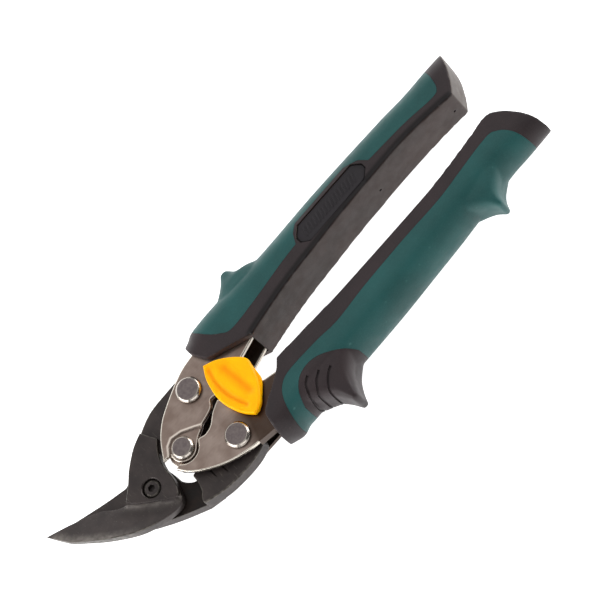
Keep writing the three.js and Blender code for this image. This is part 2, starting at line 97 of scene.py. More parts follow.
THROUGH = 12  # height above the middle plane that is clear of the whole tool
LAP_GAP = 0.15  # from the middle plane to each blade
BLADE_FACE = 4  # the upper blade's head, and the lower one's underside
TAIL_HALF = 2.5  # half the thickness of a blade's tail
EYE_HALF = 4.3  # and of its end round the rivet
FRAME_FACE = 6
SHEET = 1.5
LUG_DROP = 0.6  # how far the left frame is pressed in round the handle pivot
LUG_RADIUS = 4.1
SOCKET_RADIUS = 4.8
GRIP_HALF = 8.7
BULGE = 7  # how far the rounded outer side of a grip stands out
SEAM = 0.06  # open line between a grip's core and its cover
KNOB_LOW = 6.3
KNOB_HIGH = 8.6


# ---- outlines: lists of (x, y) ----

def spline(points, steps=8):
    """A smooth curve through the points."""
    padded = [points[0], *points, points[-1]]
    curve = [points[0]]
    for a, b, c, d in zip(padded, padded[1:], padded[2:], padded[3:]):
        a, b, c, d = (np.array(p, float) for p in (a, b, c, d))
        for step in range(1, steps + 1):
            t = step / steps
            place = 2 * b + (c - a) * t + (2 * a - 5 * b + 4 * c - d) * t * t
            curve.append(tuple((place + (3 * b - a - 3 * c + d) * t ** 3) / 2))
    return curve


def outline(start, *steps):
    """A closed outline. Each step is a point, reached by a straight line, or a list, for a curve."""
    points = [start]
    for step in steps:
        if isinstance(step, list):
            points += spline([points[-1], *step])[1:]
        else:
            points.append(step)
    return points


def arc(middle, radius, start, end, steps=20):
    """Points along a circle, between two angles in degrees."""
    turns = np.radians(np.linspace(start, end, steps + 1))
    return [(middle[0] + radius * math.cos(a), middle[1] + radius * math.sin(a)) for a in turns]


def strip(path, width):
    """The outline of a stroke along a path."""
    path = np.array(path, float)
    along = np.gradient(path, axis=0)
    along /= np.linalg.norm(along, axis=1)[:, None]
    side = np.stack([-along[:, 1], along[:, 0]], axis=1) * width / 2
    return [*map(tuple, path + side), *map(tuple, (path - side)[::-1])]


def circle(middle, radius, steps=64):
    return arc(middle, radius, 0, 360, steps)[:-1]


def counterclockwise(points):
    ring = np.array(points, float)
    if np.linalg.norm(ring[0] - ring[-1]) < 1e-6:
        ring = ring[:-1]
    following = np.roll(ring, -1, axis=0)
    area = np.sum(ring[:, 0] * following[:, 1] - following[:, 0] * ring[:, 1])
    return ring if area > 0 else ring[::-1]


def inset(ring, distance):
    """A counterclockwise ring moved inwards."""
    ahead = np.roll(ring, -1, axis=0) - ring
    ahead /= np.linalg.norm(ahead, axis=1)[:, None]
    inward = np.stack([-ahead[:, 1], ahead[:, 0]], axis=1)
    both = inward + np.roll(inward, 1, axis=0)
    both /= np.linalg.norm(both, axis=1)[:, None]
    sharpest = 0.4  # keeps the new corner near where the ring turns sharply
    reach = 1 / np.maximum(np.sum(both * inward, axis=1), sharpest)
    return ring + both * reach[:, None] * distance


def softened(points, radius):
    """The outline with its sharp corners rounded."""
    smallest_turn = math.radians(25)
    ring = [Vector(p) for p in counterclockwise(points)]
    result = []
    for i, here in enumerate(ring):
        before, after = ring[i - 1] - here, ring[(i + 1) % len(ring)] - here
        if before.angle(-after) < smallest_turn:
            result.append(tuple(here))
            continue
        start = here + before.normalized() * min(radius, before.length * 0.45)
        end = here + after.normalized() * min(radius, after.length * 0.45)
        for t in np.linspace(0, 1, 6):
            result.append(tuple(start * (1 - t) ** 2 + here * 2 * t * (1 - t) + end * t * t))
    return result


# ---- solids: mesh objects in millimetres, until placed() moves them into the frame ----

FLAT, EDGE, THIRD = 0, 1, 2  # material places: broad faces, their edges, and faces picked out later
STAND_INS = [bpy.data.materials.new(f"place_{place}") for place in (FLAT, EDGE)]


def new_solid(vertices, faces, marks=None):
    mesh = bpy.data.meshes.new("solid")
    mesh.from_pydata([tuple(v) for v in vertices], [], faces)
    for stand_in in STAND_INS:
        mesh.materials.append(stand_in)
    if marks is not None:
        mesh.polygons.foreach_set("material_index", marks)
    shape = bmesh.new()
    shape.from_mesh(mesh)
    if shape.calc_volume(signed=True) < 0:
        mesh.flip_normals()
    shape.free()
    solid = bpy.data.objects.new("solid", mesh)
    bpy.context.scene.collection.objects.link(solid)
    return solid


def sides(vertices, count):
    """Faces between one ring of count vertices and the next."""
    faces = []
    for start in range(0, len(vertices) - count, count):
        for i in range(count):
            a, b = start + i, start + (i + 1) % count
            faces.append([a, b, b + count, a + count])
    return faces


def ends(vertices, count):
    """Faces over the first ring and the last."""
    return [list(range(count))[::-1], list(range(len(vertices) - count, len(vertices)))]


def slab(points, low, high, edge=0.3, steps=3, wall=FLAT, spread=1.0):
    """An outline given thickness, with rounded edges. spread makes the rounding wider than it is high."""
    ring = counterclockwise(points)
    quarter = np.linspace(0, math.pi / 2, steps + 1) if edge else [math.pi / 2]
    lower = [(edge * spread * (1 - math.sin(a)), edge * (1 - math.cos(a))) for a in quarter]
    rows = [(low + rise, inward) for inward, rise in lower]
    rows += [(high - rise, inward) for inward, rise in reversed(lower)]
    vertices = []
    for height, inward in rows:
        vertices += [(x, y, height) for x, y in (inset(ring, inward) if inward else ring)]
    count = len(ring)
    marks = [FLAT, FLAT]
    for row in range(len(rows) - 1):
        marks += [wall if row == len(lower) - 1 else EDGE] * count
    return new_solid(vertices, [*ends(vertices, count), *sides(vertices, count)], marks)


def prism(points, low=-THROUGH, high=THROUGH):
    return slab(points, low, high, edge=0)


def turned(middle, profile, segments=64, bright=()):
    """A round solid about an upright axis, from a profile of (radius, height) that starts and ends on it.
    bright lists the profile's stretches that are edges."""
    vertices, rings = [], []
    for radius, height in profile:
        if radius < 1e-6:
            rings.append([len(vertices)] * segments)
            vertices.append((*middle, height))
        else:
            rings.append([len(vertices) + i for i in range(segments)])
            vertices += [(x, y, height) for x, y in circle(middle, radius, segments)]
    faces, marks = [], []
    for row, (lower, upper) in enumerate(zip(rings, rings[1:])):
        for i in range(segments):
            j = (i + 1) % segments
            corners = [lower[i], lower[j], upper[j], upper[i]]
            faces.append([c for k, c in enumerate(corners) if c not in corners[:k]])
            marks.append(EDGE if row in bright else FLAT)
    return new_solid(vertices, faces, marks)


def lofted(vertices, count):
    """A solid through rings of count vertices each."""
    return new_solid(vertices, [*sides(vertices, count), *ends(vertices, count)])


def tube(path, radius, corners=12):
    """A wire of round section along a path of (x, y, z), with flat ends."""
    path = [Vector(p) for p in path]
    vertices = []
    across = (path[1] - path[0]).orthogonal().normalized()
    for i, place in enumerate(path):
        along = (path[min(i + 1, len(path) - 1)] - path[max(i - 1, 0)]).normalized()
        across = (across - along * across.dot(along)).normalized()
        other = along.cross(across)
        for k in range(corners):
            a = 2 * math.pi * k / corners
            vertices.append(place + (across * math.cos(a) + other * math.sin(a)) * radius)
    return lofted(vertices, corners)


def baked(solid):
    """The solid with its modifiers made part of its mesh."""
    bpy.context.view_layer.update()
    evaluated = solid.evaluated_get(bpy.context.evaluated_depsgraph_get())
    mesh = bpy.data.meshes.new_from_object(evaluated)
    solid.modifiers.clear()
    solid.data = mesh
    return solid


def boolean(solid, tools, operation):
    """The solid changed by each tool in turn. The tools are used up."""
    for tool in tools:
        modifier = solid.modifiers.new("boolean", "BOOLEAN")
        modifier.operation = operation
        modifier.solver = "MANIFOLD"
        modifier.object = tool
        baked(solid)
        bpy.data.objects.remove(tool)
    return solid


def joined(solid, *tools):
    return boolean(solid, tools, "UNION")


def cut(solid, *tools):
    return boolean(solid, tools, "DIFFERENCE")


def within(solid, *tools):
    return boolean(solid, tools, "INTERSECT")


def copied(solid):
    twin = solid.copy()
    twin.data = solid.data.copy()
    bpy.context.scene.collection.objects.link(twin)
    return twin


def moulded(solid):
    """The solid with every edge and inner corner softened, as a moulding has."""
    remesh = solid.modifiers.new("remesh", "REMESH")
    remesh.mode = "VOXEL"
    remesh.voxel_size = 0.36
    smooth = solid.modifiers.new("smooth", "SMOOTH")
    smooth.factor = 0.5
    smooth.iterations = 6
    return baked(solid)


def gridded(solid, step, x_range, y_range):
    """The solid with its faces divided along a square grid, so that they can be pressed out of flat."""
    shape = bmesh.new()
    shape.from_mesh(solid.data)
    for axis, (start, end) in enumerate((x_range, y_range)):
        for value in np.arange(start, end, step):
            place, normal = Vector(), Vector()
            place[axis] = value
            normal[axis] = 1
            everything = shape.verts[:] + shape.edges[:] + shape.faces[:]
            bmesh.ops.bisect_plane(shape, geom=everything, plane_co=place, plane_no=normal, dist=1e-4)
    shape.to_mesh(solid.data)
    shape.free()
    return solid


def points_of(solid):
    places = np.zeros(len(solid.data.vertices) * 3)
    solid.data.vertices.foreach_get("co", places)
    return places.reshape(-1, 3)


def moved(solid, places):
    solid.data.vertices.foreach_set("co", places.astype(np.float32).ravel())
    solid.data.update()
    return solid


def point_marks(solid, name, shares):
    """Gives each of the solid's points a share from 0 to 1, for its material to read."""
    marks = solid.data.attributes.new(name, "FLOAT", "POINT")
    marks.data.foreach_set("value", np.clip(shares, 0, 1).astype(np.float32))


def flipped(solid):
    """The solid's mirror image below the middle plane."""
    solid.data.transform(Matrix.Diagonal((1, 1, -1, 1)))
    solid.data.flip_normals()
    return solid


def distance_to(path, places):
    """Distance of each place to a path, in as many dimensions as the path has."""
    path = np.array(path, float)
    nearest = np.full(len(places), np.inf)
    for a, b in zip(path, path[1:]):
        along = b - a
        offset = places[:, :len(a)] - a
        t = np.clip(offset @ along / (along @ along), 0, 1)
        nearest = np.minimum(nearest, np.linalg.norm(offset - t[:, None] * along, axis=1))
    return nearest


def inside(ring, places):
    """Which places lie inside a ring, looking down."""
    ring = np.array(ring, float)
    odd = np.zeros(len(places), bool)
    for (ax, ay), (bx, by) in zip(ring, np.roll(ring, -1, axis=0)):
        crossing = (ay > places[:, 1]) != (by > places[:, 1])
        if ay != by:
            odd ^= crossing & (places[:, 0] < ax + (places[:, 1] - ay) * (bx - ax) / (by - ay))
    return odd


def faces_of(solid):
    """Middle and normal of each face."""
    faces = solid.data.polygons
    return np.array([face.center for face in faces]), np.array([face.normal for face in faces])


def marks_of(solid):
    """The material place of each face."""
    marks = np.zeros(len(solid.data.polygons), np.int32)
    solid.data.polygons.foreach_get("material_index", marks)
    return marks


def marked(solid, marks):
    solid.data.polygons.foreach_set("material_index", marks.astype(np.int32))


def smoothstep(t):
    t = np.clip(t, 0, 1)
    return t * t * (3 - 2 * t)


def placed(solid, name, body, node, finish, crease=32):
    """Finishes a solid as a piece of the tool: in the frame, in metres, shaded and riding on its body.
    A finish is a slot's name, which is not used, and a material for each material place."""
    slot, *materials = finish
    solid.data.transform(Matrix.Translation(ORIGIN) @ Matrix.Scale(MM, 4))
    solid.name = name
    solid.data.name = name
    marks = marks_of(solid)
    solid.data.materials.clear()
    for material in materials:
        solid.data.materials.append(material)
    marked(solid, marks)
    solid.data.shade_smooth()
    solid.data.set_sharp_from_angle(angle=math.radians(crease))
    weighted = solid.modifiers.new("weighted", "WEIGHTED_NORMAL")
    weighted.keep_sharp = True
    baked(solid)
    solid.data.name = name
    if body:
        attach(solid, body)
    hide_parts(node)
    return solid


# ---- materials ----

class Look:
    """A material's nodes. Textures are laid out in the object's own metres."""

    def __init__(self, name, **sockets):
        self.material = bpy.data.materials.new(name)
        self.material.use_nodes = True
        self.tree = self.material.node_tree
        self.shader = self.tree.nodes["Principled BSDF"]
        for socket, value in sockets.items():
            self.shader.inputs[socket.replace("_", " ")].default_value = value
        self.place = self.node("ShaderNodeTexCoord").outputs["Object"]

    def node(self, kind, sockets=(), **settings):
        node = self.tree.nodes.new(kind)
        for setting, value in settings.items():
            setattr(node, setting, value)
        for socket, value in dict(sockets).items():
            if isinstance(value, bpy.types.NodeSocket):
                self.tree.links.new(value, node.inputs[socket])
            else:
                node.inputs[socket].default_value = value
        return node

    def noise(self, size, detail, stretch=(1, 1, 1)):
        """Noise whose features are about size millimetres across, drawn out along any axis."""
        scale = tuple(1 / (size * MM * s) for s in stretch)
        mapping = self.node("ShaderNodeMapping", {"Vector": self.place, "Scale": scale})
        sockets = {"Vector": mapping.outputs[0], "Scale": 1.0, "Detail": detail}
        return self.node("ShaderNodeTexNoise", sockets).outputs["Fac"]

    def ramp(self, value, *stops):
        """A colour or a grey level for each value, from stops of (value, colour or level)."""
        node = self.node("ShaderNodeValToRGB", {"Fac": value})
        ramp = node.color_ramp
        while len(ramp.elements) < len(stops):
            ramp.elements.new(0.5)
        for element, (position, tone) in zip(ramp.elements, stops):
            element.position = position
            element.color = (*tone, 1) if isinstance(tone, tuple) else (tone, tone, tone, 1)
        return node.outputs["Color"]

    def mix(self, share, tone, other):
        """A tone, turned to another by a share from 0 to 1."""
        factor, first, second, result = 0, 6, 7, 2  # the sockets of a Mix node that mixes colours
        colours = [c if isinstance(c, bpy.types.NodeSocket) else (*c, 1) for c in (tone, other)]
        sockets = {factor: share, first: colours[0], second: colours[1]}
        return self.node("ShaderNodeMix", sockets, data_type="RGBA").outputs[result]

    def math(self, operation, a, b, c=0.0):
        sockets = {0: a, 1: b, 2: c}
        return self.node("ShaderNodeMath", sockets, operation=operation).outputs[0]

    def mark(self, name):
        """The shares that point_marks() gave the piece, or 0 where it gave none."""
        return self.node("ShaderNodeAttribute", attribute_name=name).outputs["Fac"]

    def span(self, value, start, end, low=0.0, high=1.0):
        """low to high, as the value goes from start to end."""
        return self.node("ShaderNodeMapRange", {0: value, 1: start, 2: end, 3: low, 4: high}).outputs[0]

    def edges(self, start, end):
        """1 on outer corners and 0 on flat faces and inner corners."""
        return self.span(self.node("ShaderNodeNewGeometry").outputs["Pointiness"], start, end)

    def bump(self, height, depth, strength, below=None):
        """Adds relief of a depth in millimetres. below is an earlier relief that this one lies on."""
        sockets = {"Height": height, "Distance": depth * MM, "Strength": strength}
        if below is not None:
            sockets["Normal"] = below
        return self.node("ShaderNodeBump", sockets).outputs[0]

    def colour(self, value):
        self.tree.links.new(value, self.shader.inputs["Base Color"])

    def roughness(self, noise, low, high):
        self.tree.links.new(self.span(noise, 0.3, 0.7, low, high), self.shader.inputs["Roughness"])

    def relief(self, value):
        self.tree.links.new(value, self.shader.inputs["Normal"])


def colour(*levels):
    """A linear colour from red, green and blue as everyday levels of 0 to 255."""
    return tuple(c / 255 / 12.92 if c <= 10 else ((c / 255 + 0.055) / 1.055) ** 2.4 for c in levels)


def grip_rubber(name, base, deep, worn, roughness):
    """Soft moulded grip: clouded, fine-grained, paler on its corners, and with painted shade where a point
    mark says so, as in the groove along the left grip's inner edge.
    """
    base, deep, worn = colour(*base), colour(*deep), colour(*worn)
    look = Look(name, IOR=1.48, Specular_IOR_Level=0.3, Sheen_Weight=0.04, Sheen_Roughness=0.5)
    clouds = look.noise(14, 4)
    tone = look.ramp(clouds, (0.35, deep), (0.65, base))
    speckle = look.noise(0.35, 2)
    tone = look.mix(look.ramp(speckle, (0.45, 0), (0.8, 0.12)), tone, worn)
    tone = look.mix(look.ramp(look.edges(0.58, 0.76), (0, 0), (1, 0.5)), tone, worn)
    # painted shade: the point mark darkens the tone nearly to black
    look.colour(look.mix(look.mark("hollow_shade"), tone, tuple(c * 0.3 for c in deep)))
    look.roughness(look.noise(3, 3), roughness - 0.06, roughness + 0.08)
    grain = look.bump(look.noise(0.22, 2), 0.03, 0.5)
    look.relief(look.bump(look.noise(2.5, 2), 0.05, 0.25, grain))
    return look.material


def satin_steel():
    """Stamped sheet: clouded, faintly brushed along the handles, with a painted highlight on the line of
    its pressing and painted shade on the right frame next to the grip.
    """
    look = Look("satin_steel", Metallic=1.0)
    clouds = look.noise(6, 5)
    brushed = look.noise(0.16, 3, stretch=(14, 1, 1))
    tone = look.ramp(clouds, (0.35, colour(128, 112, 103)), (0.65, colour(158, 143, 134)))
    tone = look.mix(look.ramp(brushed, (0.3, 0), (0.8, 0.5)), tone, colour(120, 102, 93))
    slant, strength = 0.35, 0.85  # painted shade on the right frame, from a slanted line back to the grip
    x, y = look.node("ShaderNodeSeparateXYZ", {0: look.place}).outputs[:2]
    across = look.math("MULTIPLY_ADD", y, -slant, x)
    line = ORIGIN.x - slant * ORIGIN.y - 34.5 * MM
    painted_shade = look.span(across, line + 3.5 * MM, line - 2 * MM)
    right_side = look.span(y, ORIGIN.y + 3 * MM, ORIGIN.y + 6 * MM)
    painted_shade = look.math("MULTIPLY", look.math("MULTIPLY", painted_shade, right_side), strength)
    # painted shade: the right frame turns dark brown towards the grip
    tone = look.mix(painted_shade, tone, colour(52, 38, 30))
    # painted highlight along the left frame's pressed crease, read from a point mark
    look.colour(look.mix(look.mark("crease_highlight"), tone, colour(228, 216, 204)))
    look.roughness(brushed, 0.3, 0.42)
    fine = look.bump(brushed, 0.004, 0.6)
    look.relief(look.bump(look.noise(4, 3), 0.02, 0.3, fine))
    return look.material


def bright_steel(name, base, roughness):
    """Sheared or turned steel: pale, with fine marks across it."""
    look = Look(name, Metallic=1.0)
    marks = look.noise(0.12, 3, stretch=(1, 1, 8))
    look.colour(look.ramp(marks, (0.35, tuple(c * 0.82 for c in base)), (0.6, base)))
    look.roughness(marks, roughness - 0.05, roughness + 0.1)
    look.relief(look.bump(marks, 0.006, 0.5))
    return look.material


def rivet_steel():
    """Flattened rivet top: darker and purplish, with a mottled, slightly dented face."""
    look = Look("rivet_steel", Metallic=1.0)
    mottle = look.noise(0.8, 4)
    look.colour(look.ramp(mottle, (0.35, colour(103, 94, 94)), (0.65, colour(119, 110, 108))))
    look.roughness(mottle, 0.34, 0.46)
    fine = look.bump(look.noise(0.1, 2), 0.004, 0.5)
    look.relief(look.bump(look.noise(2.5, 2), 0.03, 0.4, fine))
    return look.material


def black_oxide():
    """Blackened forging: dark and faintly brown, with pale scratches, and paler where a point mark asks for
    wear and painted highlight.
    """
    look = Look("black_oxide_steel", Metallic=0.55, IOR=1.6)
    clouds = look.noise(5, 5)
    tone = look.ramp(clouds, (0.35, colour(42, 35, 34)), (0.65, colour(55, 47, 45)))
    streaks = look.noise(0.25, 2, stretch=(1, 9, 1))
    tone = look.mix(look.ramp(streaks, (0.64, 0), (0.76, 0.4)), tone, colour(112, 106, 98))
    # wear and painted highlight: paler along the cutting leaf's outer edge, with a faint painted highlight
    # along the step to the head
    patchy = look.ramp(look.noise(1.5, 4), (0.3, 0.3), (0.7, 1))
    wear_and_highlight = look.math("MULTIPLY", look.mark("wear_and_highlight"), patchy)
    look.colour(look.mix(wear_and_highlight, tone, colour(118, 112, 106)))
    look.roughness(look.noise(1.2, 4), 0.4, 0.52)
    grain = look.bump(look.noise(0.15, 2), 0.008, 0.6)
    look.relief(look.bump(look.noise(1.5, 3), 0.02, 0.4, grain))
    return look.material


def worn_oxide():
    """The blackened steel's corners, where handling has worn it paler; on the upper leaf's side that faces
    the near lamp it is also a painted highlight.
    """
    look = Look("worn_oxide_steel", Metallic=0.8)
    wear_and_highlight = look.noise(1.2, 4)
    look.colour(look.ramp(wear_and_highlight, (0.35, colour(58, 54, 51)), (0.7, colour(98, 93, 87))))
    look.roughness(wear_and_highlight, 0.45, 0.3)
    look.relief(look.bump(look.noise(0.2, 2), 0.006, 0.5))
    return look.material


def lap_shade_steel():
    """The lapping face, with painted shade: nearly black, as it lies in shadow under the upper blade."""
    look = Look("lap_shade_steel", Metallic=0.3, IOR=1.5, Specular_IOR_Level=0.25)
    shade_clouds = look.noise(2.5, 4)
    look.colour(look.ramp(shade_clouds, (0.35, colour(24, 19, 17)), (0.65, colour(40, 31, 27))))
    look.roughness(shade_clouds, 0.35, 0.6)
    look.relief(look.bump(look.noise(0.8, 3), 0.01, 0.4))
    return look.material


def yellow_plastic():
    """Glossy moulded plastic, with painted shade in its hollows as a deeper orange."""
    shine = {"IOR": 1.5, "Specular_IOR_Level": 0.1}
    look = Look("yellow_plastic", **shine, Subsurface_Weight=0.15, Subsurface_Scale=1 * MM)
    clouds = look.noise(5, 3)
    tone = look.ramp(clouds, (0.3, colour(252, 172, 0)), (0.7, colour(255, 184, 0)))
    # painted shade: the hollows turn a deeper orange
    look.colour(look.mix(look.mark("hollow_shade"), tone, colour(252, 140, 0)))
    look.roughness(look.noise(1.5, 3), 0.34, 0.46)
    look.relief(look.bump(look.noise(0.3, 2), 0.012, 0.4))
    return look.material


DARK_GRIP = grip_rubber("dark_grip", (42, 32, 34), (34, 26, 28), (76, 66, 65), 0.52)
# painted light: lighter, browner copies of the dark grip, for faces turned towards the lamps
LIT_INNER_FACE = grip_rubber("lit_inner_face_grip", (61, 43, 38), (50, 36, 32), (98, 84, 76), 0.5)
LIT_REAR_FACE = grip_rubber("lit_rear_face_grip", (76, 67, 61), (60, 52, 48), (120, 112, 104), 0.5)
INLAY = grip_rubber("inlay_rubber", (30, 26, 30), (24, 20, 24), (52, 47, 50), 0.5)
GREEN_GRIP = grip_rubber("green_grip", (23, 74, 73), (17, 64, 63), (60, 108, 102), 0.5)
SATIN = satin_steel()
BRIGHT = bright_steel("bright_steel", colour(214, 206, 194), 0.26)
RIM = bright_steel("rivet_rim", colour(172, 164, 156), 0.24)
ZINC = bright_steel("zinc_steel", colour(200, 198, 192), 0.3)
RIVET = rivet_steel()
OXIDE = black_oxide()
WORN = worn_oxide()
LAP_SHADE = lap_shade_steel()
YELLOW = yellow_plastic()

FORGED = ("black_oxide_steel", OXIDE, WORN)
RIVETED = ("rivet_steel", RIVET, RIM)
PRESSED = ("satin_steel", SATIN, BRIGHT)
PLATED = ("bright_steel", ZINC, BRIGHT)
DARK = ("dark_grip", DARK_GRIP, DARK_GRIP)
GREEN = ("green_grip", GREEN_GRIP, GREEN_GRIP)
GLOSSY = ("yellow_plastic", YELLOW, YELLOW)


# ---- blades ----

UPPER_SLOPE = (0.34, 0.173, 0.276)  # height at the blade pivot, and rise along X and along Y
LOWER_SLOPE = (-5.3, 0.266, 0.264)
HEAD_STEP = [(8.1, -2.9), (5.6, 0.2), (1.6, 4), (-2.8, 7.7)]  # where the upper leaf meets its head


def sloped(slope, places):
    height, rise_x, rise_y = slope
    return height + rise_x * places[:, 0] + rise_y * places[:, 1]


def pin_hole(middle, radius=2.1):
    return prism(circle(middle, radius))


def tail_eye(middle):
    return slab(circle(middle, 4.8), -EYE_HALF, EYE_HALF, edge=0.25)


def upper_leaf(shape):
    """The cutting leaf, which slopes away from the lap and climbs towards the head."""
    flat_top = 2
    leaf = gridded(slab(shape, LAP_GAP, flat_top, edge=0.28), 0.6, (-6, 30), (-17, 11))
    places = points_of(leaf)
    below_head = np.interp(places[:, 0] - places[:, 1], [-9, 0, 11], [0.1, 0.7, 1.1])
    slope = sloped(UPPER_SLOPE, places)
    near = np.exp(-np.maximum(0, distance_to(HEAD_STEP, places) - 0.3) / 1.7)
    height = slope + near * np.maximum(0, BLADE_FACE - below_head - slope)
    places[:, 2] = LAP_GAP + (places[:, 2] - LAP_GAP) / (flat_top - LAP_GAP) * (height - LAP_GAP)
    return moved(leaf, places)


def upper_blade():
    head = outline(
        HEAD_STEP[0],
        HEAD_STEP[1:],
        [(-4.4, 7.2), (-6.1, 3.5), (-6.9, -2), (-8.6, -5.9), (-11.3, -9.1)],
        (-9, -14.5),
        [(-4.6, -12.8), (0.5, -9.4), (3.9, -6.3), (8.1, -2.9)],
    )
    leaf = outline(
        (30.7, -16.1),
        [(27.4, -9.3), (24.6, -5.9), (18.8, 0.2), (11.2, 6.2),
         (4, 9.2), (-1.5, 10.1), (-4.1, 8.6), (-5.4, 5.4)],
        (-2.6, 2.5),
        (4.4, -4.6),
        (8.2, -2.9),
        [(11.8, -5.7), (15.4, -9.2), (23.6, -13.3), (30.7, -16.1)],
    )
    tail = outline(
        (-4.6, -12.8),
        [(-9, -15), (-13.3, -16.7), (-17.8, -17.5), (-29.2, -17.7)],
        [(-30.7, -16.6), (-31.5, -14), (-32.1, -11)],
        (-27.5, -5.7),
        [(-21, -6.5), (-14.5, -8.6), (-8.6, -5.9)],
    )
    blade = slab(head, LAP_GAP, BLADE_FACE, edge=0.35)
    tail_bar = slab(tail, -TAIL_HALF, TAIL_HALF, edge=0.5)
    cut(tail_bar, prism(circle(BLADE_PIVOT, 11.3), -BLADE_FACE, LAP_GAP))
    joined(blade, upper_leaf(leaf), tail_bar, tail_eye(LEFT_TAIL_PIVOT))
    recess = [(0, 1.6), (2.9, 1.6), (2.9, 3.7), (3.2, 4.05), (3.2, 6), (0, 6)]
    cut(blade, turned(BLADE_PIVOT, recess), pin_hole(BLADE_PIVOT), pin_hole(LEFT_TAIL_PIVOT))

    middles, facing = faces_of(blade)
    on_leaf = (middles[:, 0] + middles[:, 1] > 5.5) & (middles[:, 2] < BLADE_FACE - 0.4)
    # wear and painted highlight: leaf faces past x = 14 that turn towards the near lamp take the paler worn
    # finish
    worn_and_lit_side = (facing[:, 1] > 0.3) & (middles[:, 0] > 14)
    marks = np.where(on_leaf, np.where(worn_and_lit_side, EDGE, FLAT), marks_of(blade))
    marked(blade, np.where(distance_to(HEAD_STEP, middles) < 0.9, FLAT, marks))

    places = points_of(blade)
    # wear and painted highlight: a pale band along the leaf's outer edge, and a faint painted highlight
    # along the step to the head
    outer_side = leaf[4:38]  # from just behind the tip to abreast of the pivot
    along_edge = np.clip(1.1 - distance_to(outer_side, places) / 2.4, 0, 1)
    along_edge *= smoothstep((places[:, 0] - 7) / 13)
    by_step = 0.32 * np.exp(-(distance_to(HEAD_STEP, places) / 1.8) ** 2) * (places[:, 2] < 3.6)
    point_marks(blade, "wear_and_highlight", np.maximum(along_edge, by_step))
    return placed(blade, "upper_blade_forging", "upper_blade", "upper_blade", FORGED)


def lower_head():
    """The lower blade's broad part, lapped flat on top, with its underside ground back to the slope."""
    shape = outline(
        (30.4, -16),
        [(24.2, -8.6), (18.2, -2.6), (11.3, 3.4), (5, 7.9), (-0.2, 11.1), (-7, 14.7)],
        (-12, 15.9),
        (-12, 7.2),
        [(-9.2, 6.6), (-7, 3.5), (-6.6, -1.5), (-4, -7.6), (1, -8.9), (5.3, -8.2)],
        [(11.6, -9.8), (17.8, -11.7), (24, -13.7), (30.4, -16)],
    )
    head = gridded(slab(shape, -BLADE_FACE, -LAP_GAP, edge=0.25), 0.8, (-12, 30), (-16, 16))
    places = points_of(head)
    ground = smoothstep((places[:, 0] - 8) / 1.6)
    lowest = -BLADE_FACE + np.maximum(0, sloped(LOWER_SLOPE, places) + BLADE_FACE) * ground
    share = (places[:, 2] + LAP_GAP) / (LAP_GAP - BLADE_FACE)
    places[:, 2] = share * (lowest + LAP_GAP) - LAP_GAP
    return moved(head, places)


def lower_blade():
    body = outline(
        (-6.9, 14.9),
        (-8.6, 15.5),
        [(-14.2, 17.1), (-21, 17.7), (-26, 17.5), (-29.2, 16.8)],
        [(-30.7, 16), (-31.5, 14), (-32.1, 11)],
        (-27.5, 5.7),
        [(-21, 6.2), (-16, 6.4), (-12.6, 6.3)],
        (-10.4, 6.1),
        (-10.2, 7.9),
        [(-9.7, 9.9), (-8.9, 11.8)],
        (-7.4, 13.2),
    )
    bar = slab(softened(body, 0.9), -TAIL_HALF, TAIL_HALF, edge=0.45, steps=4)
    blade = joined(lower_head(), bar, tail_eye(RIGHT_TAIL_PIVOT))
    for x, y in ((-14.8, 10.6), (-18, 12.2)):
        notch = [(x - 0.45, y - 2.4), (x + 0.45, y - 2.4), (x + 0.1, y + 1.7), (x - 0.1, y + 1.7)]
        cut(blade, slab(notch, 1.7, 4, edge=0.1))
    loose = 2.35  # room for a blade that follows this rivet only nearly
    cut(blade, pin_hole(BLADE_PIVOT), pin_hole(RIGHT_TAIL_PIVOT, loose))

    middles, facing = faces_of(blade)
    upright = (np.abs(facing[:, 2]) < 0.5) & (middles[:, 0] > 12)
    # painted shade: the lapped face by the pivot lies in shadow and gets the dark lap-shade finish
    lapped = (facing[:, 2] > 0.9) & (np.abs(middles[:, 2] + LAP_GAP) < 0.02)
    lapped &= (middles[:, 0] < 9) & (middles[:, 1] > -1)
    marked(blade, np.where(lapped, THIRD, np.where(upright, EDGE, marks_of(blade))))
    return placed(blade, "lower_blade_forging", "lower_blade", "lower_blade", (*FORGED, LAP_SHADE))


# ---- pivots ----

def rivet(name, middle, node, body, head):
    """A rivet whose two heads were pressed flat, with a bright chamfer."""
    high = (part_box(node)[1].z - ORIGIN.z) / MM
    rim = [(-0.1, 1.5), (0, 1.4), (0, 0.72), (-0.07, 0.6), (-0.52, 0.12), (-0.62, 0.04), (-0.78, 0)]
    half = [(2, high - 1.5), *((head + out, high - down) for out, down in rim), (0, high)]
    lower = [(radius, -height) for radius, height in half][::-1]
    chamfers = [*range(1, 6), *range(len(lower) + 2, len(lower) + 7)]
    return placed(turned(middle, lower + half, 96, chamfers), name, body, node, RIVETED, crease=40)


def pivot_screw():
    """A low domed head, sunk in the blade, with a six-sided socket."""
    shank, head, foot, seat, top = 2, 2.75, -7.6, 1.65, 2.9
    dome = [(2.7 * math.cos(a) ** 0.7, top + math.sin(a)) for a in np.linspace(0, math.pi / 2, 8)[:-1]]
    profile = [(0, foot), (shank - 0.25, foot), (shank, foot + 0.25), (shank, seat), (head - 0.15, seat)]
    profile += [(head, seat + 0.15), (head, top - 0.1), *dome, (0, top + 1)]
    screw = turned(BLADE_PIVOT, profile, bright=range(7, 11))
    cut(screw, prism(circle(BLADE_PIVOT, 1.15, 6), 2.5))
    return placed(screw, "pivot_screw", "upper_blade", "blade_pivot_screw", FORGED)


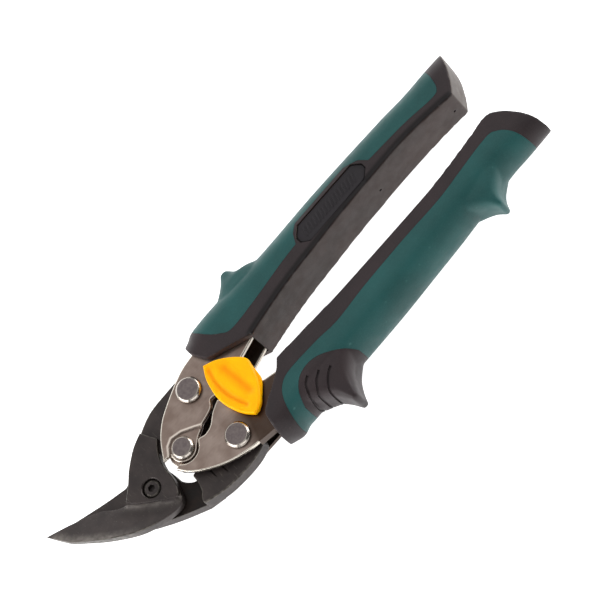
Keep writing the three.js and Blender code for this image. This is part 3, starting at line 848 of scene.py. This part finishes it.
def pivot_washer():
    ring = slab(circle(BLADE_PIVOT, 4.2), -4.75, -4.05, edge=0.15)
    cut(ring, pin_hole(BLADE_PIVOT))
    return placed(ring, "pivot_washer", "upper_blade", "blade_pivot_washer", PLATED)


def pivot_nut():
    top, bottom = -4.8, -7.2
    corner = 7 / math.sqrt(3)
    nut = slab(circle(BLADE_PIVOT, corner, 6), bottom, top, edge=0.08, steps=2)
    reach = corner + 0.05
    chamfer = [(0, bottom), (3.3, bottom), (reach, bottom + 0.45), (reach, top), (0, top)]
    within(nut, turned(BLADE_PIVOT, chamfer))
    cut(nut, pin_hole(BLADE_PIVOT))
    return placed(nut, "pivot_nut", "upper_blade", "blade_pivot_nut", FORGED)


def return_spring():
    """Three turns round the handle pivot's sleeve, with a leg behind each handle's plates."""
    wire, radius, turns, rise = 0.5, 3.78, 3, 2.3
    x, y = HANDLE_PIVOT
    start, sweep = math.radians(118), math.radians(360 * turns - 236)
    coil = []
    for t in np.linspace(0, 1, 90):
        angle = start + sweep * t
        coil.append((x + radius * math.cos(angle), y + radius * math.sin(angle), rise * t - rise / 2))
    first = [(x - 12, y + 3.8, -0.05 - rise / 2), (x - 6, y + 3.75, -rise / 2)]
    last = [(x - 6, y - 3.75, rise / 2), (x - 12, y - 3.8, rise / 2 + 0.05)]
    spring = tube([*first, *coil, *last], wire)
    placed(spring, "return_spring_coil", None, "return_spring", ("bright_steel", ZINC), crease=60)
    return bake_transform(spring)


# ---- handle frames ----

LEFT_INNER_EDGE = [(-49.6, -6.6), (-62, -10.2), (-72, -11.9), (-92, -13.3), (-135, -13.3)]
RIGHT_INNER_EDGE = [(-49.6, 6.4), (-62, 8), (-88, 8.7), (-110, 7.8), (-135, 6.4)]
LEFT_WEB = [(-36, -17.6), (-135, -19.3)]
RIGHT_WEB = [(-36, 17.6), (-135, 13.5)]
NOSE_CUT = [(-11.2, -9), (-5, -9), (-5, 9), (-11.2, 9)]  # the lower plates have shorter noses
RIGHT_LOWER_CUT = [(-35.5, 14.9), (-24.5, 14.9), (-20, 16.5), (-20, 20), (-35.5, 20)]
RIGHT_SKIRT = [(-36, 17.6), (-30.1, 16.7), (-30.1, 15.2), (-36, 16.1)]  # upper plate's turned-down edge


def web(outer, towards):
    """The frame's side wall, bent over at the top and bottom."""
    inner = [(x, y + towards * SHEET) for x, y in reversed(outer)]
    return slab([*outer, *inner], -FRAME_FACE, FRAME_FACE, wall=EDGE)


def plate(shape):
    """A frame's upper plate, with sheared edges."""
    return slab(shape, FRAME_FACE - SHEET, FRAME_FACE, steps=4, wall=EDGE, spread=1.3)


def left_channel():
    crease = [(-9.8, -1.4), (-11.7, -3.9), (-14, -4.9), (-17.4, -4), (-21.2, -1.7), (-23, -0.4)]
    shape = outline(
        LEFT_WEB[1],
        LEFT_WEB[0],
        [(-30.6, -16.9), (-25.7, -15.3), (-19.7, -12.7), (-15.7, -10.5), (-11.6, -6.9), (-7.8, -1.6)],
        (-9.9, -1.4),
        *arc(HANDLE_PIVOT, LUG_RADIUS, -20, 140, 24),
        (-19.6, 1.1),
        (-23, -0.4),
        [(-27.7, -1.6), (-29.6, -3.5), (-31.2, -3.4)],
        (-44, -5.2),
        *LEFT_INNER_EDGE,
    )
    pressed = [*crease, (-22, 3), (-15, 8), (-8, 4), (-8, -1)]
    frame_part = web(LEFT_WEB, 1)
    for side in (1, -1):
        sheet = gridded(plate(shape), 0.3, (-25, -7.5), (-6, 3))
        places = points_of(sheet)
        depth = distance_to(crease, places) * np.where(inside(pressed, places), 1, 0)
        places[:, 2] -= LUG_DROP * smoothstep(depth / 1.1)
        moved(sheet, places)
        joined(frame_part, sheet if side > 0 else flipped(sheet))
    cut(frame_part, pin_hole(HANDLE_PIVOT), pin_hole(LEFT_TAIL_PIVOT), prism(NOSE_CUT, -THROUGH, 0))
    # painted shade: the slit's walls facing the right handle lie in shadow, so they take the duller satin
    # finish instead of the bright edge
    middles, facing = faces_of(frame_part)
    shaded_slit_wall = inside([(-32, -4), (-9, -4), (-9, 6), (-32, 6)], middles) & (facing[:, 1] > 0.3)
    marked(frame_part, np.where(shaded_slit_wall, FLAT, marks_of(frame_part)))
    # painted highlight: points near the pressed crease are marked to turn pale
    point_marks(frame_part, "crease_highlight", 1.3 - distance_to(crease, points_of(frame_part)) / 0.3)
    return placed(frame_part, "left_channel_pressing", "left_handle", "left_channel", PRESSED)


def right_channel():
    shape = outline(
        RIGHT_WEB[1],
        RIGHT_WEB[0],
        [(-30.1, 16.7), (-27.5, 16.2), (-21.2, 14.1), (-15.6, 10.9), (-11, 6.9), (-8.7, 3.1)],
        (-10.6, 2.5),
        *arc(HANDLE_PIVOT, SOCKET_RADIUS, 34, 149),
        [(-19.2, 1.8), (-20.2, 2), (-21.6, 2.4), (-24.2, 1.8), (-27.4, -0.5), (-30.8, -2)],
        (-33, 0.5),
        (-42.8, 4.5),
        *RIGHT_INNER_EDGE,
    )
    wall = arc(HANDLE_PIVOT, SOCKET_RADIUS, 36, 148) + arc(HANDLE_PIVOT, SOCKET_RADIUS + SHEET, 148, 36)
    frame_part = web(RIGHT_WEB, -1)
    for side in (1, -1):
        lug = slab(circle(HANDLE_PIVOT, SOCKET_RADIUS + 0.4), 2.1, 3.6, edge=0.2)
        sheet = joined(plate(shape), prism(wall, 2.4, FRAME_FACE - 0.3), lug)
        joined(frame_part, sheet if side > 0 else flipped(sheet))
    cut(frame_part, pin_hole(HANDLE_PIVOT), pin_hole(RIGHT_TAIL_PIVOT), prism(NOSE_CUT, -THROUGH, 0))
    cut(frame_part, prism(RIGHT_LOWER_CUT, -THROUGH, 0))
    joined(frame_part, slab(RIGHT_SKIRT, TAIL_HALF + 0.3, FRAME_FACE - 0.05, edge=0.1))
    # painted shade: the bend and skirt next to the grip lie in shade, so their edges take the duller satin
    # finish instead of the bright edge
    middles, facing = faces_of(frame_part)
    shaded_bend = (middles[:, 0] < -30.3) & (middles[:, 1] > 14) & (facing[:, 0] < 0.5) & (middles[:, 2] > 0)
    marked(frame_part, np.where(shaded_bend, FLAT, marks_of(frame_part)))
    return placed(frame_part, "right_channel_pressing", "right_handle", "right_channel", PRESSED)


# ---- grips ----

def half_height(x):
    """Half the grip's thickness along the palm."""
    return np.interp(-np.asarray(x), [30, 41, 122, 138, 152], [8.1, GRIP_HALF, GRIP_HALF, 7.6, 6.2])


def lofted_grip(edge, towards):
    """A bar wider than the grip, flat above and below, with a rounded outer side that follows the edge."""
    far = towards * 30
    angles = np.linspace(-math.pi / 2, math.pi / 2, 25)
    vertices = []
    for x, y in spline(edge, 10):
        half = float(half_height(x))
        middle = y + towards * BULGE
        vertices.append((x, far, -half))
        vertices += [(x, middle - towards * BULGE * math.cos(a), half * math.sin(a)) for a in angles]
        vertices.append((x, far, half))
    return lofted(vertices, len(angles) + 2)


def fin(front, rear, heights, power=0.75):
    """A finger guard, from a root inside the grip to a rounded tip. front and rear are its flanks, seen
    from above, and heights gives half its thickness by distance from the middle of the tool. The section is
    an ellipse at a power of 1, and squarer below it."""
    flanks = [np.array(spline(flank)) for flank in (front, rear)]
    side = math.copysign(1, front[0][1])
    root, tip = abs(front[0][1]), min(abs(front[-1][1]), abs(rear[-1][1]))
    rows = [(y, 1.0) for y in np.linspace(root, tip, 18)]
    rows += [(tip + 0.9 * math.sin(a), math.cos(a)) for a in np.radians((25, 50, 70, 85))]
    turns = np.linspace(0, 2 * math.pi, 33)[:-1]
    across, up = (np.copysign(np.abs(part) ** power, part) for part in (np.cos(turns), np.sin(turns)))
    vertices = []
    for y, share in rows:
        first, last = (np.interp(min(y, tip), np.abs(flank[:, 1]), flank[:, 0]) for flank in flanks)
        half = share * np.interp(y, *zip(*heights))
        xs = (first + last) / 2 + share * (first - last) / 2 * across
        vertices += [(x, side * y, z) for x, z in zip(xs, half * up)]
    return lofted(vertices, len(turns))


def frame_room(outer_edge, inner_edge, towards):
    """The space inside a grip for its frame."""
    room = 0.3
    (front_x, front_y), (rear_x, rear_y) = outer_edge
    inner = [(x - room, y + towards * room) for x, y in [(-32, 0), (-44, -5.2 * towards), *inner_edge]]
    outer = [(front_x + 5, front_y - towards * room), (rear_x - room, rear_y - towards * room)]
    return prism(outer + inner[::-1], -FRAME_FACE - 0.2, FRAME_FACE + 0.2)


# the grips' inner sides and ends, their outer sides, and the outlines of their green covers and the rest
LEFT_INNER_LINE = [(-50.8, -6.4), (-61.9, -8.2), (-71.4, -9.3), (-81.8, -10), (-92, -10.7), (-105.6, -11.2),
                   (-118.1, -11.4), (-128.5, -10.9), (-138.9, -9.9)]
LEFT_ENDS = outline(
    (-35.2, -30),
    (-35.2, -17.3),
    [(-37, -12.9), (-38.4, -11.4), (-43.1, -9.6), (-48.4, -7.5), (-50.8, -6.4)],
    LEFT_INNER_LINE[1:],
    [(-142.2, -14.4), (-144.8, -20), (-146.4, -30)],
)
RIGHT_ENDS = outline(
    (-35.2, 30),
    (-35.2, 20),
    [(-36.6, 15.2), (-38, 12.5), (-43.4, 9.8), (-48.4, 6.8), (-50.8, 4.5)],
    [(-65.4, 5.1), (-73.5, 5.5), (-88.4, 5.7), (-106.3, 5.6), (-119.1, 5.2), (-133.7, 3.3)],
    [(-140.5, 2.5), (-144.6, 5.5), (-148, 11), (-149.5, 17), (-149.6, 30)],
)
LEFT_EDGE = [(-25, -20), (-36, -22.6), (-39, -23.9), (-42, -24.3), (-50, -24.5), (-70, -24.1), (-90, -24.5),
             (-105, -24.4), (-120, -24.1), (-130, -23.8), (-142, -24.2), (-160, -24)]
RIGHT_EDGE = [(-25, 19.5), (-34, 20.4), (-39.5, 22), (-43, 21.2), (-47, 21.2), (-68, 20.8), (-84, 20.4),
              (-98, 19.6), (-110, 18.9), (-122, 17.8), (-133, 16.8), (-142, 16.9), (-165, 16.6)]
LEFT_COVER = outline(
    (-40.2, -35),
    (-40.2, -21),
    [(-42.4, -17), (-45.2, -13.9), (-48.6, -12.1), (-58.5, -12.7), (-71.2, -14.2), (-78.1, -14.7)],
    (-79.8, -17.6),
    (-82.4, -19.6),
    (-103, -19.9),
    (-107.4, -17.8),
    (-109.4, -15.2),
    [(-124.9, -14.4), (-134.5, -13.6), (-137.4, -14.9), (-138.7, -19.2)],
    (-139, -35),
)
RIGHT_COVER = outline(
    (-40.5, 35),
    (-40.6, 22),
    [(-43.4, 15.4), (-46.1, 11.9), (-50.5, 10.3), (-61.6, 10.5), (-69.9, 11.2), (-82.3, 10.3), (-99.7, 9.8),
     (-115.8, 9.7), (-134.2, 7.5), (-138.8, 8.4), (-142, 12.6), (-143.3, 19)],
    (-143.5, 35),
)
PAD = outline(
    (-70, 35),
    (-67.6, 20),
    (-65.4, 18),
    [(-62, 15.7), (-58.4, 13.8), (-54.8, 13.2), (-51.2, 14.1), (-48.2, 16.5), (-45.8, 20)],
    (-45, 35),
)
THUMB_GROOVES = [
    spline([(-52.9, 15.6), (-50.8, 16.7), (-49.4, 19), (-48.2, 20.9), (-46.4, 24)], 4),
    spline([(-56.2, 16.9), (-53.7, 18.3), (-51.8, 20.2), (-50.4, 22), (-48.8, 26)], 4),
    spline([(-59.3, 18.6), (-57.3, 19.5), (-55.2, 21.2), (-53.4, 23.6), (-52.4, 28)], 4),
]
NAME_PLATE = [(-82.3, -18.3), (-79.6, -15.9), (-79.6, -13.9), (-81.7, -12.1), (-104.7, -12.5),
              (-107.2, -14.5), (-107.2, -16.2), (-105, -18.5)]


def zone(points, spread=0.0, low=-THROUGH, high=THROUGH):
    """Everything above and below an outline, made larger by spread."""
    return prism(inset(counterclockwise(points), -spread), low, high)


def left_grip():
    guard = fin([(-46, -21), (-51, -24), (-53.6, -25.6), (-55.4, -27.2), (-56.3, -28.2)],
                [(-72, -21), (-67, -24), (-64, -24.9), (-61.8, -26), (-60.1, -28.2)],
                [(21, 7.6), (24, 6.8), (26, 5.8), (29, 4.6)])
    body = joined(within(lofted_grip(LEFT_EDGE, 1), prism(LEFT_ENDS)), guard)
    rim = [(x, y, float(half_height(x))) for x, y in spline(LEFT_INNER_LINE)[::3]]
    cut(body, tube([(x, y - 0.5, z + 0.75) for x, y, z in rim], 1.15, 16))
    moulded(body)
    for x, y in ((-105.6, -11.2), (-136.2, -10.3)):
        cut(body, tube([(x, y - 0.6, -1.3), (x, y + 2, -1.3)], 0.45))
    cut(body, frame_room(LEFT_WEB, LEFT_INNER_EDGE, 1))
    cover = within(copied(body), zone(LEFT_COVER))
    cut(body, zone(LEFT_COVER, SEAM), zone(NAME_PLATE, 0.25, 7.6, 10))
    cut(cover, zone(NAME_PLATE, 0.25, 7.6, 10))
    # painted light: the left grip's inner side and the faces turned back take the lighter copies of the
    # dark grip
    facing = faces_of(body)[1]
    marked(body, np.select([facing[:, 0] < -0.55, facing[:, 1] > 0.8], [THIRD, EDGE], FLAT))
    # painted shade along the groove at the top of the inner side, read by the grip material
    groove = [(x, y - 0.6, z - 0.1) for x, y, z in rim]
    point_marks(body, "hollow_shade", 1.6 - distance_to(groove, points_of(body)) / 0.8)
    finish = ("dark_grip", DARK_GRIP, LIT_INNER_FACE, LIT_REAR_FACE)
    placed(body, "left_grip_inner", "left_handle", "left_grip_core", finish)
    placed(cover, "left_grip_cover", "left_handle", "left_grip_sleeve", GREEN)


def name_plate():
    """A blank inlay with a plain row of slanted ribs."""
    inlay = slab(softened(NAME_PLATE, 0.6), 7.7, 8.25, edge=0.2)
    for x in np.arange(-103.6, -83, 1.35):
        rib = [(x, -16.8), (x + 0.55, -16.8), (x + 1.5, -13.8), (x + 0.95, -13.8)]
        joined(inlay, slab(softened(rib, 0.25), 8, 8.42, edge=0.12, steps=2))
    placed(inlay, "left_blank_inlay", "left_handle", "left_name_plate", ("dark_grip", INLAY, INLAY))


def right_grip():
    bump = fin([(-111, 14), (-116, 17), (-119, 18.6), (-121.3, 20.2), (-123.2, 22.5)],
               [(-134.5, 14), (-130, 16.8), (-127.8, 18.4), (-126.3, 20.2), (-125.2, 22.5)],
               [(14, 7.4), (17, 6.8), (20, 5.6), (23.3, 4.2)], 0.6)
    hook = fin([(-42, 17), (-48, 20.3), (-52.4, 22.8), (-54.6, 25.6), (-56.2, 29)],
               [(-70, 17), (-65.6, 20), (-62.2, 22.8), (-60, 26), (-58.6, 29)],
               [(17, 8.2), (20, 7.6), (24, 6.4), (30, 5)], 0.55)
    body = joined(within(lofted_grip(RIGHT_EDGE, -1), prism(RIGHT_ENDS)), bump, hook)
    moulded(body)
    cut(body, frame_room(RIGHT_WEB, RIGHT_INNER_EDGE, -1))
    cover = within(copied(body), zone(RIGHT_COVER))
    pad = within(copied(body), zone(PAD))
    cut(cover, zone(PAD, SEAM))
    cut(body, zone(RIGHT_COVER, SEAM))
    groove_floor = copied(pad)
    groove_depth, groove_width = 0.55, 0.75
    normals = np.array([vertex.normal for vertex in groove_floor.data.vertices])
    moved(groove_floor, points_of(groove_floor) - groove_depth * normals)
    cut(pad, *(prism(strip(groove, groove_width)) for groove in THUMB_GROOVES))
    joined(pad, groove_floor)
    placed(body, "right_grip_inner", "right_handle", "right_grip_core", DARK)
    placed(cover, "right_grip_cover", "right_handle", "right_grip_sleeve", GREEN)
    placed(pad, "right_thumb_pad", "right_handle", "right_thumb_rest", DARK)


# ---- latch ----

KNOB = outline(
    (-35.2, -11.3),
    [(-33.1, -8), (-31.7, -3.6), (-31.2, 0.4), (-31.8, 4.4), (-33.1, 8), (-35.2, 11)],
    (-36.8, 11),
    [(-38.9, 9.7), (-41.2, 7.1), (-43.1, 3.9), (-44.7, -0.6), (-45.1, -2.4), (-44.4, -4), (-42.5, -6.4),
     (-40.4, -8.4), (-38.5, -9.8), (-36.9, -10.6)],
)
KNOB_LIP = [(-44.9, -2), (-43.9, 4.4), (-42.6, 6), (-40, 8.6), (-38, 4), (-40, -2)]


def latch_knob():
    """The thumb button: rounded, with a crescent groove near its front, a dish behind and a low lip."""
    knob = gridded(slab(KNOB, KNOB_LOW, KNOB_HIGH, edge=0.7, steps=5), 0.3, (-46, -30), (-12, 12))
    groove = spline([(-35.2, -8.6), (-34.2, -5), (-33.9, -1.4), (-34.3, 2.6), (-35.6, 6.9)], 6)
    dish = spline([(-38.8, -5.6), (-38.8, -3.4), (-39.1, -0.8), (-39.1, 2), (-39.2, 4.6)], 6)
    places = points_of(knob)
    depth = 0.65 * np.exp(-(distance_to(groove, places) / 1.05) ** 2)
    depth += 0.7 * np.exp(-(distance_to(dish, places) / 1.6) ** 2)
    top = smoothstep((places[:, 2] - KNOB_LOW - 1) / 0.8)
    places[:, 2] -= depth * top
    moved(knob, places)
    # painted shade: the deeper a hollow, the deeper its orange
    point_marks(knob, "hollow_shade", depth * top)
    joined(knob, slab(softened(KNOB_LIP, 0.8), KNOB_LOW, KNOB_LOW + 0.9, edge=0.3))
    placed(knob, "latch_button_top", "latch", "latch_knob_top", GLOSSY, crease=60)


def latch_parts():
    latch_knob()
    button = slab(circle(LATCH_PIN, 4.2), -KNOB_HIGH, -KNOB_LOW, edge=0.7, steps=5)
    placed(button, "latch_button_bottom", "latch", "latch_knob_bottom", GLOSSY)
    pin = slab(circle(LATCH_PIN, 1.5, 32), -7.6, 7.6, edge=0.2)
    placed(pin, "latch_cross_pin", "latch", "latch_pin", ("bright_steel", ZINC, ZINC))
    block = outline((-43.5, -16), (-36, -16), (-36, -6.5), (-35.6, -2.8), (-35.6, 1.2), (-40.6, 1.2),
                    (-40.6, -2.8), (-43.5, -6.5))
    slide = slab(softened(block, 0.8), -3, 3, edge=0.3)
    cut(slide, pin_hole(LATCH_PIN, 1.6))
    placed(slide, "latch_slide_block", "latch", "latch_slide", PLATED)


# ---- floor, light and camera ----

def floor():
    """A pale square, just under the lowest piece."""
    gap, size = 0.2 * MM, 3
    corners = [(-size, -size, 0), (size, -size, 0), (size, size, 0), (-size, size, 0)]
    mesh = bpy.data.meshes.new("floor")
    mesh.from_pydata(corners, [], [(0, 1, 2, 3)])
    glow = {"Emission_Color": (1, 1, 1, 1), "Emission_Strength": 1.0}
    look = Look("pale_floor", Base_Color=(0.8, 0.8, 0.8, 1), Roughness=0.9, **glow)
    mesh.materials.append(look.material)
    ground = bpy.data.objects.new("floor", mesh)
    bpy.context.scene.collection.objects.link(ground)
    ground.location.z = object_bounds()[0][2] - gap
    ground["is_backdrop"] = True


def softbox(name, place, size, power):
    """An area light aimed at the tool."""
    light = bpy.data.lights.new(name, "AREA")
    light.shape = "RECTANGLE"
    light.size, light.size_y = size
    light.energy = power
    box = bpy.data.objects.new(name, light)
    box.location = place
    box.rotation_euler = Vector(place).to_track_quat("Z", "Y").to_euler()
    bpy.context.scene.collection.objects.link(box)


def lighting():
    world = bpy.data.worlds.new("studio")
    world.use_nodes = True
    background = world.node_tree.nodes["Background"]
    background.inputs["Color"].default_value = (1, 1, 1, 1)
    background.inputs["Strength"].default_value = 0.12
    bpy.context.scene.world = world
    bpy.context.scene.view_settings.view_transform = "Standard"
    softbox("front_box", (1.5, -0.1, 0.5), (1.6, 0.7), 28)
    softbox("far_box", (0.1, -1.5, 0.5), (2.2, 0.9), 10)
    softbox("rear_box", (-1.6, -0.2, 0.5), (1.5, 0.6), 30)
    softbox("near_box", (0.5, 1.6, 0.8), (1.8, 0.6), 9)
    softbox("top_box", (0, -0.4, 1.8), (2.4, 2.6), 17)


CAMERA_HEIGHT_ANGLE = math.radians(62)  # above the floor, seen from the right handle's side
CAMERA_ROLL = math.radians(-48.4)
CAMERA_TARGET = ORIGIN + Vector((-67, -4.72, 3.7)) * MM
CAMERA_DISTANCE = 1.2
CAMERA_LENS = 256


def camera():
    back = Vector((0, math.cos(CAMERA_HEIGHT_ANGLE), math.sin(CAMERA_HEIGHT_ANGLE)))
    level = Vector((-1, 0, 0))
    right = level * math.cos(CAMERA_ROLL) + back.cross(level) * math.sin(CAMERA_ROLL)
    data = bpy.data.cameras.new("camera")
    data.lens = CAMERA_LENS
    data.sensor_width = 36
    eye = bpy.data.objects.new("camera", data)
    turn = Matrix((right, back.cross(right), back)).transposed()
    eye.matrix_world = Matrix.Translation(CAMERA_TARGET + back * CAMERA_DISTANCE) @ turn.to_4x4()
    bpy.context.scene.collection.objects.link(eye)
    bpy.context.scene.camera = eye


camera()
lighting()
floor()
upper_blade()
lower_blade()
pivot_screw()
pivot_washer()
pivot_nut()
left_channel()
right_channel()
rivet("handle_rivet", HANDLE_PIVOT, "handle_pivot_rivet", "left_handle", 3.45)
rivet("left_rivet", LEFT_TAIL_PIVOT, "left_tail_rivet", "left_handle", 3.9)
rivet("right_rivet", RIGHT_TAIL_PIVOT, "right_tail_rivet", "right_handle", 3.9)
return_spring()
left_grip()
name_plate()
right_grip()
latch_parts()

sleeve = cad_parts["handle_pivot_sleeve"]  # hidden inside, so it keeps its CAD shape
sleeve.data.materials.clear()
sleeve.data.materials.append(ZINC)
for stand_in in STAND_INS:
    bpy.data.materials.remove(stand_in)
